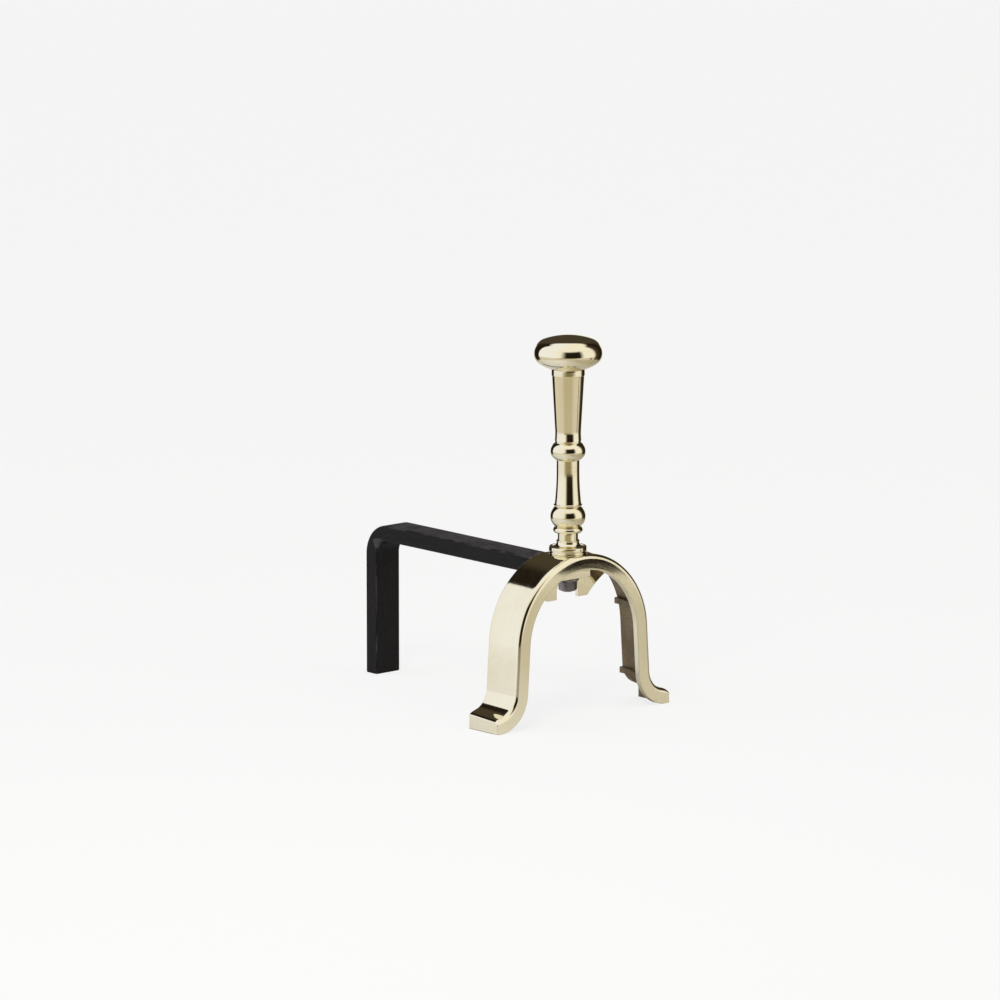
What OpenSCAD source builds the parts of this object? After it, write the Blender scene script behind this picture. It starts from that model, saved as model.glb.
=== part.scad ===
// Andiron: a hollow-backed brass arch with a turned column on its crown and a
// black iron billet bar whose bent end is the rear leg.
// X runs across the hearth, Y from the front face to the rear leg, Z up.
// The origin lies on the floor, under the middle of the whole piece.

/* [Arch casting] */
// Outer radius of the crown
arch_r = 69; // [60:1:80]
// Height of the crown's crest above the floor
arch_h = 131.5; // [120:0.5:150]
// Width of the strap's front face
strap_w = 12.4; // [11:0.2:15]
// Depth of the strap, front to back
strap_d = 33.5; // [32:0.5:38]
// Thickness of the front plate
plate_t = 5; // [4:0.5:7]
// Thickness of the outer wall where it leaves the plate
wall_t = 3.2; // [2.6:0.2:4]
// Thickness of the outer wall at the back edge
wall_back_t = 2.2; // [1.8:0.2:2.6]
// Radius of the hollow corner between plate and wall
scoop_r = 5; // [3:0.5:6]
// How far the outer wall leans out from front to back, so that the casting leaves its mould
draft = 2; // [1:0.1:2.4]
// Rounding of the outer front edge
edge_r = 3.6; // [2:0.2:4]
// How far the crest is planed down to seat the column
seat_cut = 1; // [0.8:0.1:1.4]

/* [Feet] */
// How far the centre of each foot's curl stands out past the side of the crown
foot_reach = 19.7; // [17:0.1:29]
// Radius of the hollow on top of the foot
foot_r = 17.4; // [15:0.5:20]
// Length of the toe past the middle of the curl
toe_len = 2.7; // [2.2:0.1:4]
// How far the top of the toe rolls down to its end
toe_drop = 2.8; // [2:0.2:4]
// Length over which it rolls down
toe_roll = 6.8; // [5:0.2:8]
// Thickness of the wall that closes the hollow at the toe
toe_wall = 3; // [2:0.5:3.4]
// How far the soles are ground flat
sole_cut = 0.2; // [0.1:0.05:0.3]
// How far the middle of each leg's lower rib lies below the centre of the foot's curl
low_rib_drop = 4.6; // [2:0.2:7]
// How far the middle of each shoulder's rib lies above the centre of the crown
high_rib_rise = 19.5; // [15:0.5:26]
// Thickness of the ribs
rib_t = 5; // [3:0.5:6]
// How far a rib stands off the wall at the back edge
rib_step = 4; // [2:0.5:5]

/* [Lug under the crown] */
// How far the lug's front wall stands forward of the column's axis
lug_reach = 9.5; // [9:0.25:10]
// Thickness of the wall in front of the bar's end
nose_t = 2.5; // [2:0.25:3]
// Thickness of the cheeks beside the bar
cheek_t = 2.75; // [2:0.25:4]
// How far the cheeks stop short of the strap's back edge
cheek_back = 4.5; // [3:0.5:6]
// Half the width of the pad that backs the column's seat
pad_hw = 18; // [17:0.5:22]
// How far the web's lower corners lie below the bar
web_drop = 17; // [14:0.5:20]
// Half the width of the web at its lower corners
web_hw = 21; // [18:0.5:24]
// Half the width of the web where it runs out on the arch's wall
web_reach = 45; // [40:1:48]
// Radius of the web's hollow flanks
flank_r = 69; // [30:1:100]
// Thickness of the web
web_t = 4; // [3:0.5:6]
// Radius of the web's notch for the nut
notch_r = 11.5; // [10.5:0.5:12]

/* [Billet bar] */
// Width of the bar
bar_w = 25; // [20:1:26]
// Thickness of the bar
bar_t = 13; // [12:0.5:14]
// How far the bar's top face lies below the crest of the crown
bar_drop = 7.5; // [6.5:0.5:9.5]
// Distance from the front face to the back of the rear leg, at the bar's height
bar_y = 249; // [180:1:400]
// Outer radius of the bend
bend_r = 26; // [18:1:30]
// Rounding of the bar's long edges
bar_edge = 1.4; // [0.6:0.2:2.4]

/* [Column] */
// Radius of the flange and its lip
flange_r = 15; // [14:0.5:17]
// How far the flange stands past the strap's back edge
flange_over = 1; // [0:0.2:1.4]
// Height of the base, from the seat to the first bead
base_h = 16.5; // [15.5:0.5:22]
// Height of the flange's rim with its lip and groove
rim_h = 5.7; // [5.3:0.2:6.9]
// Height of the lip under the groove
lip_h = 1.6; // [1:0.2:2]
// Height of the groove in the rim
groove_h = 0.8; // [0.6:0.1:1.2]
// Depth of the grooves
groove_d = 0.7; // [0.3:0.1:1]
// Radius of the neck
neck_r = 8.1; // [7.6:0.1:9]
// Radius of the hollow between rim and neck
cove_r = 4.2; // [3.5:0.1:5]
// Radius of the ring at the foot of the neck
ring_r = 0.8; // [0.5:0.1:1.2]
// Radius of the step bead's edge
step_bead_r = 11.9; // [11:0.1:12.4]
// Height of the step bead
step_bead_h = 5; // [4:0.5:6]
// Radius of the lower bead
low_bead_r = 14.1; // [13:0.1:15]
// Height of the lower bead's barrel
low_bead_h = 16.4; // [14:0.2:17]
// Radius of the curve of the barrel
barrel_r = 10; // [9:0.5:12]
// Height of the fillet on the lower bead
fillet_h = 2; // [1.8:0.2:3]
// Radius of the fillet on the lower bead
fillet_r = 11.4; // [11:0.1:12.4]
// Height of the lower shaft
low_shaft_h = 33.5; // [28:0.5:60]
// Radius of the lower shaft
low_shaft_r = 9.1; // [8.4:0.1:10]
// How much the lower shaft widens at its foot
low_flare = 1.5; // [0.6:0.1:1.8]
// Height of the flare
low_flare_h = 26; // [15:1:27]
// Height of the middle bead
mid_bead_h = 16.8; // [16.4:0.2:18]
// Radius of the middle bead
mid_bead_r = 14; // [13:0.1:15]
// Radius of the middle bead's round edge
mid_round_r = 8; // [7:0.1:8.2]
// Height of the upper shaft
up_shaft_h = 56.6; // [45:0.2:90]
// Radius of the upper shaft at its foot
up_shaft_r = 10.3; // [9:0.1:10.8]
// Radius of the upper shaft under the collar
up_top_r = 12.9; // [11:0.1:13]
// Height of the plain foot of the upper shaft
up_plain_h = 3; // [2:1:12]
// Radius of the collar under the knob
collar_r = 13.3; // [13.1:0.1:13.6]
// Height of the collar
collar_h = 4.8; // [4:0.2:7]

/* [Knob] */
// Radius of the knob
knob_r = 27.3; // [26:0.1:30]
// Height of the knob above its widest point
knob_top = 14.1; // [13.5:0.1:16]
// Radius of the knob's upper shoulder
knob_top_r = 11.5; // [8:0.5:12]
// Height of the full curve below its widest point
knob_under = 15; // [14:0.1:18]
// Radius of the knob's lower shoulder
knob_low_r = 10; // [6:0.5:11]
// Height of the widest point above the knob's flat underside
knob_seat = 12.9; // [12:0.1:13.5]

/* [Tie rod] */
// Radius of the tie rod
rod_r = 4; // [3:0.5:4]
// Gap between the rod and the holes it passes through
rod_gap = 0.15; // [0.1:0.05:0.3]
// Gap at the screwed ends
thread_gap = 0.05; // [0.02:0.01:0.1]
// Depth of the screwed hole in the knob
knob_hole = 12; // [8:1:18]
// Distance across the nut's flats
nut_af = 13; // [12:0.5:13]
// Height of the nut
nut_h = 8; // [5:0.5:9]
// Radius of the washer
washer_r = 8.7; // [7.7:0.1:9]
// Thickness of the washer
washer_t = 2.4; // [1:0.2:3]
// Gap between the bar's end and the lug's walls
socket_gap = 0.15; // [0.1:0.05:0.4]
// Radius of the spigot that centres each column piece on the next
spigot_r = 6; // [5.4:0.1:6.4]
// Height of the spigots
spigot_h = 1.6; // [1:0.2:2]

/* [Hidden] */
$fn = 96;
brass = [0.80, 0.70, 0.45];
pale_brass = [0.86, 0.78, 0.55];
black_iron = [0.12, 0.11, 0.11];
steel = [0.45, 0.43, 0.44];
over = 1;              // how far a cutter runs past a face
soffit_r = arch_r - strap_w;
arch_cz = arch_h - arch_r;
foot_x = arch_r + foot_reach;
sole_r = foot_r + strap_w;
foot_cz = sole_r - sole_cut;
// The legs are the common tangents of the crown and of the curls of the feet.
leg_tilt = acos((arch_r + foot_r) / norm([foot_x, arch_cz - foot_cz]))
           - atan2(arch_cz - foot_cz, foot_x);
leg_len = foot_x * sin(leg_tilt) + (arch_cz - foot_cz) * cos(leg_tilt);
tip_x = foot_x + toe_len;
toe_turn = 90 - leg_tilt + asin(toe_len / foot_r) + 3;
axis_y = strap_d + flange_over - flange_r;
middle_y = (bar_y + min(0, axis_y - knob_r)) / 2;
seat_z = arch_h - seat_cut;
draft_angle = atan(draft / (strap_d - edge_r));
lug_y = axis_y - lug_reach;
bar_z = arch_h - bar_drop;
bar_bottom = bar_z - bar_t;
web_z = bar_bottom - web_drop;
bar_start = lug_y + nose_t + socket_gap;
slot_hw = bar_w / 2 + socket_gap;
lug_hw = slot_hw + cheek_t;
// The wall's inner face starts at wall_y, and has this radius in the crown at the front of the web.
wall_y = plate_t + scoop_r;
web_ring_r = arch_r - wall_t + (draft + wall_t - wall_back_t) * (axis_y - wall_y) / (strap_d - wall_y);
spot_r = washer_r + 0.5;
// Radius of a large curve that leaves a straight line by rise over a length run
function flare_r(rise, run) = (run * run + rise * rise) / (2 * rise);
toe_roll_r = flare_r(toe_drop, toe_roll);
toe_z = strap_w - sole_cut;
low_bead_z = seat_z + base_h;
low_bead_total = step_bead_h + low_bead_h + fillet_h;
low_shaft_z = low_bead_z + low_bead_total;
mid_bead_z = low_shaft_z + low_shaft_h;
up_shaft_z = mid_bead_z + mid_bead_h;
knob_z = up_shaft_z + up_shaft_h;
washer_z = bar_bottom - washer_t;
nut_z = washer_z - nut_h;
rod_end = nut_z - 1;
rod_top = knob_z + knob_hole - 1;

module from_middle() {
    translate([0, -middle_y, 0]) children();
}

// The strap's section: u = 0 on the soffit, u = strap_w on the outside; y = 0 at the front.
module strap_outline() {
    corner = [strap_w - edge_r, edge_r];
    polygon([[0, 0], [corner.x, 0], [strap_w, corner.y], [strap_w + draft, strap_d], [0, strap_d]]);
    translate(corner) circle(r = edge_r);
}

module scoop_outline() {
    corner = [strap_w - wall_t - scoop_r, wall_y];
    polygon([[-over, corner.y], [corner.x + scoop_r, corner.y],
             [strap_w + draft - wall_back_t, strap_d + over], [-over, strap_d + over]]);
    translate([-over, plate_t]) square([corner.x + over, strap_d]);
    translate(corner) circle(r = scoop_r);
}

// Turns a profile about an axis that runs along Y, from the X axis towards the top
module swing(angle) {
    mirror([0, 1, 0]) rotate([90, 0, 0]) rotate_extrude(angle = angle) children();
}

// One half of the strap, swept from a profile: crown, straight leg and curl of the foot.
// All three lie in the leg's own frame, so that their ends meet.
module half_sweep() {
    translate([0, 0, arch_cz]) rotate([0, -leg_tilt, 0]) {
        swing(90) translate([soffit_r, 0]) children();
        translate([0, 0, -leg_len]) linear_extrude(height = leg_len) translate([soffit_r, 0]) children();
        translate([arch_r + foot_r, 0, -leg_len]) rotate([0, 180, 0])
            swing(toe_turn) translate([sole_r, 0]) mirror([1, 0]) children();
    }
}

module half_strap() {
    difference() {
        half_sweep() strap_outline();
        difference() {
            half_sweep() scoop_outline();
            translate([tip_x - toe_wall, -over, -sole_r]) cube([sole_r, strap_d + 2 * over, 2 * sole_r]);
        }
        // Middle of the crown, sole and end of the toe
        translate([-arch_r, -over, 0]) cube([arch_r, strap_d + 2 * over, arch_h + draft + over]);
        translate([0, -over, -sole_r]) cube([tip_x, strap_d + 2 * over, sole_r]);
        translate([tip_x, -over, -sole_r]) cube([sole_r, strap_d + 2 * over, 2 * sole_r]);
        // Top of the toe, along the slope that the wall's draft gives it
        translate([tip_x - toe_roll, edge_r, toe_z - toe_roll_r]) rotate([draft_angle - 90, 0, 0])
            difference() {
                translate([0, -2 * toe_roll_r, -edge_r - 2 * over])
                    cube([2 * toe_roll, 2 * toe_roll_r, strap_d + 4 * over]);
                translate([0, 0, -edge_r - 3 * over]) cylinder(r = toe_roll_r, h = strap_d + 6 * over);
            }
    }
}

// A cross rib fills the hollow behind the plate and ends in a small step at the back edge.
module rib(z, outer_x) {
    front_x = outer_x - strap_w + 2;
    back_x = outer_x + draft - wall_back_t;
    translate([0, 0, z - rib_t / 2]) linear_extrude(height = rib_t)
        polygon([[front_x, plate_t - over], [outer_x - wall_t / 2, plate_t - over],
                 [back_x + wall_back_t / 2, strap_d], [back_x - rib_step, strap_d],
                 [back_x - rib_step, strap_d - rib_t]]);
}

module half_arch() {
    half_strap();
    rib(foot_cz - low_rib_drop, foot_x - sqrt(pow(foot_r, 2) - pow(low_rib_drop, 2)));
    rib(arch_cz + high_rib_rise, sqrt(pow(arch_r, 2) - pow(high_rib_rise, 2)));
}

module flank_cutter() {
    a = [web_hw, web_z];
    b = [web_reach, arch_cz + sqrt(pow(web_ring_r, 2) - pow(web_reach, 2))];
    chord = norm(b - a);
    along = (b - a) / chord;
    reach = sqrt(pow(flank_r, 2) - pow(chord / 2, 2));
    translate((a + b) / 2 + reach * [along.y, -along.x]) circle(r = flank_r, $fn = 240);
}

// Keeps what lies inside the crown, as far out as the middle of its wall
module inside_crown() {
    intersection() {
        children();
        translate([0, 0, arch_cz]) rotate([-90, 0, 0])
            cylinder(r1 = arch_r - wall_t / 2, r2 = arch_r + draft - wall_back_t / 2, h = strap_d);
    }
}

module web() {
    translate([0, axis_y + web_t, 0]) rotate([90, 0, 0]) linear_extrude(height = web_t)
        difference() {
            translate([-web_reach, web_z]) square([2 * web_reach, arch_h - web_z]);
            flank_cutter();
            mirror([1, 0]) flank_cutter();
            translate([0, bar_bottom - notch_r]) circle(r = notch_r);
            translate([-notch_r, web_z - over]) square([2 * notch_r, bar_bottom - notch_r - web_z + over]);
        }
}

module lug() {
    inside_crown() {
        web();
        translate([-lug_hw, lug_y, bar_bottom])
            cube([2 * lug_hw, strap_d - cheek_back - lug_y, arch_h - bar_bottom]);
        translate([-pad_hw, lug_y, bar_z]) cube([2 * pad_hw, strap_d - lug_y, arch_h - bar_z]);
    }
}

module front_arch() {
    color(brass) from_middle() difference() {
        union() {
            for (side = [0, 1]) mirror([side, 0, 0]) half_arch();
            lug();
        }
        // Flat seat for the column
        translate([-arch_r, -over, seat_z]) cube([2 * arch_r, strap_d + 2 * over, arch_r]);
        // Channel for the bar's end, open below and to the back
        translate([-slot_hw, lug_y + nose_t, bar_bottom - over])
            cube([2 * slot_hw, strap_d, bar_t + over]);
        // Room for the washer in the web
        translate([0, axis_y, web_z - over]) cylinder(r = spot_r, h = bar_bottom - web_z + over);
        // Hole for the tie rod
        translate([0, axis_y, bar_bottom]) cylinder(r = rod_r + rod_gap, h = arch_h - bar_bottom);
    }
}

module bar_section() {
    core_w = bar_w - 2 * bar_edge;
    core_t = bar_t - 2 * bar_edge;
    square([bar_w, core_t], center = true);
    square([core_w, bar_t], center = true);
    for (x = [-1, 1], y = [-1, 1])
        translate([x * core_w / 2, y * core_t / 2]) circle(r = bar_edge, $fn = 32);
}

module billet_bar() {
    straight = bar_y - bend_r - bar_start;
    color(black_iron) from_middle() difference() {
        union() {
            translate([0, bar_start, bar_z - bar_t / 2]) rotate([-90, 0, 0])
                linear_extrude(height = straight) bar_section();
            translate([0, bar_y - bend_r, bar_z - bend_r]) rotate([0, -90, 0])
                rotate_extrude(angle = 90) translate([bend_r - bar_t / 2, 0]) rotate(90) bar_section();
            translate([0, bar_y - bar_t / 2, 0]) linear_extrude(height = bar_z - bend_r) bar_section();
        }
        translate([0, axis_y, bar_bottom - over]) cylinder(r = rod_r + rod_gap, h = bar_t + 2 * over);
    }
}

// A turned piece stands on z, is bored for the rod, has a socket below and a spigot on top.
module turned(z, h, socket = true, spigot = true) {
    from_middle() translate([0, axis_y, z]) difference() {
        union() {
            rotate_extrude() intersection() {
                children();
                square([knob_r, h]);
            }
            if (spigot) cylinder(r = spigot_r, h = h + spigot_h);
        }
        if (socket) translate([0, 0, -over])
            cylinder(r = spigot_r + rod_gap, h = over + spigot_h + rod_gap);
        translate([0, 0, -over]) cylinder(r = rod_r + rod_gap, h = h + spigot_h + 2 * over);
    }
}

module base_flange() {
    color(pale_brass) turned(seat_z, base_h, socket = false) {
        square([flange_r, lip_h]);
        square([flange_r - groove_d, rim_h - over]);
        translate([0, lip_h + groove_h]) square([flange_r, rim_h - lip_h - groove_h]);
        difference() {
            square([neck_r + ring_r + cove_r, rim_h + cove_r]);
            translate([neck_r + ring_r + cove_r, rim_h + cove_r]) circle(r = cove_r);
        }
        square([neck_r, base_h]);
        translate([neck_r + ring_r / 2, rim_h + cove_r]) circle(r = ring_r, $fn = 32);
    }
}

module lower_bead() {
    barrel_z = step_bead_h + low_bead_h / 2;
    color(pale_brass) turned(low_bead_z, low_bead_total) {
        translate([step_bead_r - step_bead_h / 2, step_bead_h / 2]) circle(r = step_bead_h / 2, $fn = 48);
        square([step_bead_r - step_bead_h / 2, step_bead_h]);
        intersection() {
            translate([low_bead_r - barrel_r, barrel_z]) circle(r = barrel_r);
            translate([0, step_bead_h]) square([low_bead_r, low_bead_h]);
        }
        translate([0, barrel_z]) square([fillet_r - groove_d, low_bead_total - barrel_z]);
        translate([fillet_r - fillet_h / 3, low_bead_total - fillet_h / 2]) circle(r = fillet_h / 3, $fn = 32);
        translate([0, low_bead_total - fillet_h * 5 / 6]) square([fillet_r - fillet_h / 3, fillet_h * 2 / 3]);
    }
}

module lower_shaft() {
    sweep_r = flare_r(low_flare, low_flare_h);
    color(pale_brass) turned(low_shaft_z, low_shaft_h) {
        difference() {
            square([low_shaft_r + low_flare, low_flare_h]);
            translate([low_shaft_r + sweep_r, low_flare_h]) circle(r = sweep_r, $fn = 720);
        }
        square([low_shaft_r, low_shaft_h]);
    }
}

module middle_bead() {
    color(pale_brass) turned(mid_bead_z, mid_bead_h) {
        square([low_shaft_r, mid_bead_h / 2]);
        translate([0, mid_bead_h / 2]) square([up_shaft_r, mid_bead_h / 2]);
        translate([mid_bead_r - mid_round_r, mid_bead_h / 2]) circle(r = mid_round_r);
    }
}

module upper_shaft() {
    color(pale_brass) turned(up_shaft_z, up_shaft_h) {
        polygon([[0, 0], [up_shaft_r, 0], [up_shaft_r, up_plain_h], [up_top_r, up_shaft_h - collar_h],
                 [collar_r, up_shaft_h - collar_h], [collar_r, up_shaft_h], [0, up_shaft_h]]);
    }
}

// Half of an oval that lies on the X axis: a flat dome that runs on into the round shoulder
module oval_half(height, shoulder_r) {
    shoulder_x = knob_r - shoulder_r;
    dome_r = (pow(shoulder_x, 2) + pow(height, 2) - pow(shoulder_r, 2)) / (2 * (height - shoulder_r));
    dome_z = height - dome_r;
    intersection() {
        translate([0, dome_z]) circle(r = dome_r, $fn = 240);
        polygon([[0, 0], [shoulder_x, 0], [2 * shoulder_x, -dome_z], [0, 2 * height]]);
    }
    intersection() {
        translate([shoulder_x, 0]) circle(r = shoulder_r);
        square([knob_r, shoulder_r]);
    }
}

module knob() {
    color(pale_brass) from_middle() translate([0, axis_y, knob_z]) difference() {
        rotate_extrude() intersection() {
            translate([0, knob_seat]) {
                oval_half(knob_top, knob_top_r);
                mirror([0, 1]) oval_half(knob_under, knob_low_r);
            }
            square([knob_r, knob_seat + knob_top]);
        }
        translate([0, 0, -over]) cylinder(r = spigot_r + rod_gap, h = over + spigot_h + rod_gap);
        translate([0, 0, -over]) cylinder(r = rod_r + thread_gap, h = knob_hole + over);
    }
}

module tie_rod() {
    color(steel) from_middle() translate([0, axis_y, rod_end]) cylinder(r = rod_r, h = rod_top - rod_end);
}

module rod_washer() {
    color(steel) from_middle() translate([0, axis_y, washer_z]) difference() {
        cylinder(r = washer_r, h = washer_t);
        translate([0, 0, -over]) cylinder(r = rod_r + rod_gap, h = washer_t + 2 * over);
    }
}

module rod_nut() {
    color(steel) from_middle() translate([0, axis_y, nut_z]) difference() {
        cylinder(r = nut_af / sqrt(3), h = nut_h, $fn = 6);
        translate([0, 0, -over]) cylinder(r = rod_r + thread_gap, h = nut_h + 2 * over);
    }
}

front_arch();
billet_bar();
base_flange();
lower_bead();
lower_shaft();
middle_bead();
upper_shaft();
knob();
tie_rod();
rod_washer();
rod_nut();
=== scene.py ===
import math

import bmesh
import bpy
import numpy as np
from mathutils import Matrix, Vector


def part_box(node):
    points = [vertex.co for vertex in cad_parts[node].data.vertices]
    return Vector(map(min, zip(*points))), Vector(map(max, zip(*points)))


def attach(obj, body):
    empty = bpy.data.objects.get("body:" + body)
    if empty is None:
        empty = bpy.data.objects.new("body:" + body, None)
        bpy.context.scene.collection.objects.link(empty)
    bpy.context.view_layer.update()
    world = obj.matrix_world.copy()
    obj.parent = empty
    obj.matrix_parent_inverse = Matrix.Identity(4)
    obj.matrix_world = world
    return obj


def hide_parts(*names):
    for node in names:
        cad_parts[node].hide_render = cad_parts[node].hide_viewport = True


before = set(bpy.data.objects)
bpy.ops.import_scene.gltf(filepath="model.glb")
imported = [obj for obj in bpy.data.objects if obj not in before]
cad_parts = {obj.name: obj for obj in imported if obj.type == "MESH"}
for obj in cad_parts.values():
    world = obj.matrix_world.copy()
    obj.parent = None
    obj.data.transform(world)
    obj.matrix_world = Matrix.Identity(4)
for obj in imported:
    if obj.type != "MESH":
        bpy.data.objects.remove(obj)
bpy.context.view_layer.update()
mm = 0.001
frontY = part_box("front_arch")[0].y     # metres, the plane of the arch's front face
postY = 19.5                           # mm from that plane to the column's axis
scene = bpy.context.scene
scene.view_settings.view_transform = "Standard"
print("frame loaded,", len(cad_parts), "pieces")

# The camera stands far off with a long lens, to the left of the front face and a little above the object
cameraView = {
    "azimuth": 41.62,              # degrees from +Y towards +X
    "pitch": 10.76,                # degrees down
    "lens": 288.0,                 # mm
    "sensor": 36.0,                # mm
    "distance": 6.28,              # metres from the aimed point
    "aimHeight": 0.1196,           # metres above the floor, in the arch's front plane and over its middle
    "aimPixel": (584.5, 570.0),    # where the aimed point falls in the picture
    "imageSize": 1000,
    "clipEnd": 100,                # metres
}


def makeCamera(view):
    turn = math.radians(view["azimuth"])
    dip = math.radians(view["pitch"])
    forward = Vector((math.sin(turn) * math.cos(dip), math.cos(turn) * math.cos(dip), -math.sin(dip)))
    right = Vector((math.cos(turn), -math.sin(turn), 0))
    up = right.cross(forward)
    # Back from the aimed point, then aside and up, so that the point falls on its pixel
    metresPerPixel = view["distance"] / (view["lens"] / view["sensor"] * view["imageSize"])
    aside, above = [(pixel - view["imageSize"] / 2) * metresPerPixel for pixel in view["aimPixel"]]
    place = Vector((0, frontY, view["aimHeight"])) - forward * view["distance"] - right * aside + up * above
    data = bpy.data.cameras.new("photoCamera")
    data.lens = view["lens"]
    data.sensor_width = view["sensor"]
    data.clip_end = view["clipEnd"]
    camera = bpy.data.objects.new("photoCamera", data)
    scene.collection.objects.link(camera)
    turned = Matrix((right, up, -forward)).transposed().to_4x4()
    camera.matrix_world = Matrix.Translation(place) @ turned
    scene.camera = camera


makeCamera(cameraView)
print("camera placed")


class Field:
    # A socket's value, with Python's operators adding the Math nodes
    def __init__(self, tree, socket):
        self.tree = tree
        self.socket = socket

    def math(self, operation, *others):
        node = self.tree.nodes.new("ShaderNodeMath")
        node.operation = operation
        for place, value in zip(node.inputs, (self,) + others):
            plug(self.tree, place, value)
        return Field(self.tree, node.outputs[0])

    def __add__(self, other):
        return self.math("ADD", other)

    def __sub__(self, other):
        return self.math("SUBTRACT", other)

    def __rsub__(self, other):
        return -self + other

    def __mul__(self, other):
        return self.math("MULTIPLY", other)

    def __neg__(self):
        return self.math("MULTIPLY", -1)

    def __abs__(self):
        return self.math("ABSOLUTE")

    __radd__ = __add__
    __rmul__ = __mul__

    def most(self, other):
        return self.math("MAXIMUM", other)

    def step(self, low, high):
        # 0 at low and 1 at high, smooth between; low may be the larger of the two
        node = self.tree.nodes.new("ShaderNodeMapRange")
        node.interpolation_type = "SMOOTHSTEP"
        plug(self.tree, node.inputs["Value"], self)
        node.inputs["From Min"].default_value = min(low, high)
        node.inputs["From Max"].default_value = max(low, high)
        node.inputs["To Min"].default_value = float(low > high)
        node.inputs["To Max"].default_value = float(low < high)
        return Field(self.tree, node.outputs["Result"])


def plug(tree, place, value):
    if isinstance(value, Field):
        tree.links.new(value.socket, place)
    elif value is not None:
        place.default_value = value


class Finish:
    # One material or world and its nodes
    def __init__(self, owner):
        owner.use_nodes = True
        self.owner = owner
        self.tree = owner.node_tree
        self.tree.nodes.clear()

    def node(self, kind, settings=None, output=0, **sockets):
        # A socket goes by its name, with _ for a space, or by its number, as in n0
        made = self.tree.nodes.new("ShaderNode" + kind)
        for name, value in (settings or {}).items():
            setattr(made, name, value)
        for name, value in sockets.items():
            key = int(name[1:]) if name[0] == "n" and name[1:].isdigit() else name.replace("_", " ")
            plug(self.tree, made.inputs[key], value)
        return Field(self.tree, made.outputs[output])

    def place(self):
        return self.node("TexCoord", output="Object")

    def parts(self, vector):
        made = self.tree.nodes.new("ShaderNodeSeparateXYZ")
        plug(self.tree, made.inputs[0], vector)
        return [Field(self.tree, made.outputs[i]) for i in range(3)]

    def noise(self, vector, look, stretch=(1, 1, 1)):
        # The look is the noise's scale, detail and roughness
        scale, detail, rough = look
        moved = self.node("Mapping", Vector=vector, Scale=stretch)
        return self.node("TexNoise", Vector=moved, Scale=scale, Detail=detail, Roughness=rough)

    def blend(self, factor, first, second):
        return self.node("Mix", {"data_type": "RGBA"}, output=2, n0=factor, n6=first, n7=second)

    def bump(self, height, distance, under=None):
        return self.node("Bump", Height=height, Distance=distance, Normal=under)

    def close(self, shader, kind="Material"):
        out = self.tree.nodes.new("ShaderNodeOutput" + kind)
        self.tree.links.new(shader.socket, out.inputs["Surface"])
        return self.owner


def rgba(r, g, b):
    return (r, g, b, 1)


# A cream room with a dark opening in front, a dark wall behind and a pale sheet at the wall's foot
room = {
    "cream": rgba(1.0, 0.975, 0.93),
    "cool": rgba(0.97, 1.0, 1.12),
    "beige": rgba(0.70, 0.645, 0.545),
    "olive": rgba(0.36, 0.30, 0.15),
    "dusk": rgba(0.062, 0.050, 0.033),
    "dark": rgba(0.017, 0.012, 0.008),
    "brown": rgba(0.060, 0.044, 0.024),
    "strength": 0.98,
    # Degrees to the right of the camera as the object sees it, and degrees above the horizon
    "coolLeft": (-25, -60),
    "beigeLow": (-7, -17),
    "glow": {"from": (-50, -20), "to": (50, 20), "low": (-23, -9), "high": (-8, -10)},
    "opening": {"from": (-30, -5), "to": (58, 38), "low": (-10.5, -8.9), "high": (46, 30)},
    # Degrees to the right of straight behind
    "wall": {"from": (-66.5, -64.5), "to": (88, 71), "low": (-30, -27), "high": (59, 49)},
    "sheet": {"from": (-30, -26), "to": (30, 26), "low": (-30, -28), "high": (8.5, 6.5)},
    "wallMiddle": (22, 42),
    "wallRight": (45, 75),
}


def window(s, turn, rise):
    return turn.step(*s["from"]) * turn.step(*s["to"]) * rise.step(*s["low"]) * rise.step(*s["high"])


def roomLight(s):
    # Each tone covers a window of directions and is laid over the tones before it
    world = Finish(bpy.data.worlds.new("studioRoom"))
    scene.world = world.owner
    x, y, z = world.parts(world.node("TexCoord", output="Generated"))
    facing = math.radians(cameraView["azimuth"])
    sideways = x * math.cos(facing) - y * math.sin(facing)
    ahead = x * -math.sin(facing) - y * math.cos(facing)
    degrees = 180 / math.pi
    turn = sideways.math("ARCTAN2", ahead) * degrees
    behind = sideways.math("ARCTAN2", -ahead) * degrees
    rise = z.math("ARCSINE") * degrees
    colour = world.blend(turn.step(*s["coolLeft"]), s["cream"], s["cool"])
    colour = world.blend(rise.step(*s["beigeLow"]), colour, s["beige"])
    colour = world.blend(window(s["glow"], turn, rise), colour, s["olive"])
    gloom = world.blend(abs(behind).step(*s["wallMiddle"]), s["dusk"], s["dark"])
    gloom = world.blend(behind.step(*s["wallRight"]), gloom, s["brown"])
    wall = window(s["wall"], behind, rise) * (1 - window(s["sheet"], behind, rise))
    colour = world.blend(wall, colour, gloom)
    colour = world.blend(window(s["opening"], turn, rise), colour, s["dark"])
    lit = world.node("Background", Color=colour, Strength=s["strength"])
    white = world.node("Background", Color=rgba(1, 1, 1), Strength=1.0)
    isCamera = world.node("LightPath", output="Is Camera Ray")
    world.close(world.node("MixShader", n0=isCamera, n1=lit, n2=white), "World")


softbox = {
    "name": "leftSoftbox",
    "place": (-1.0, -0.7, 1.3),
    "aim": (0, 0, 0.12),
    "size": 0.5,
    "watts": 9,
    "tint": (1.0, 0.98, 0.94),
}


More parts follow.
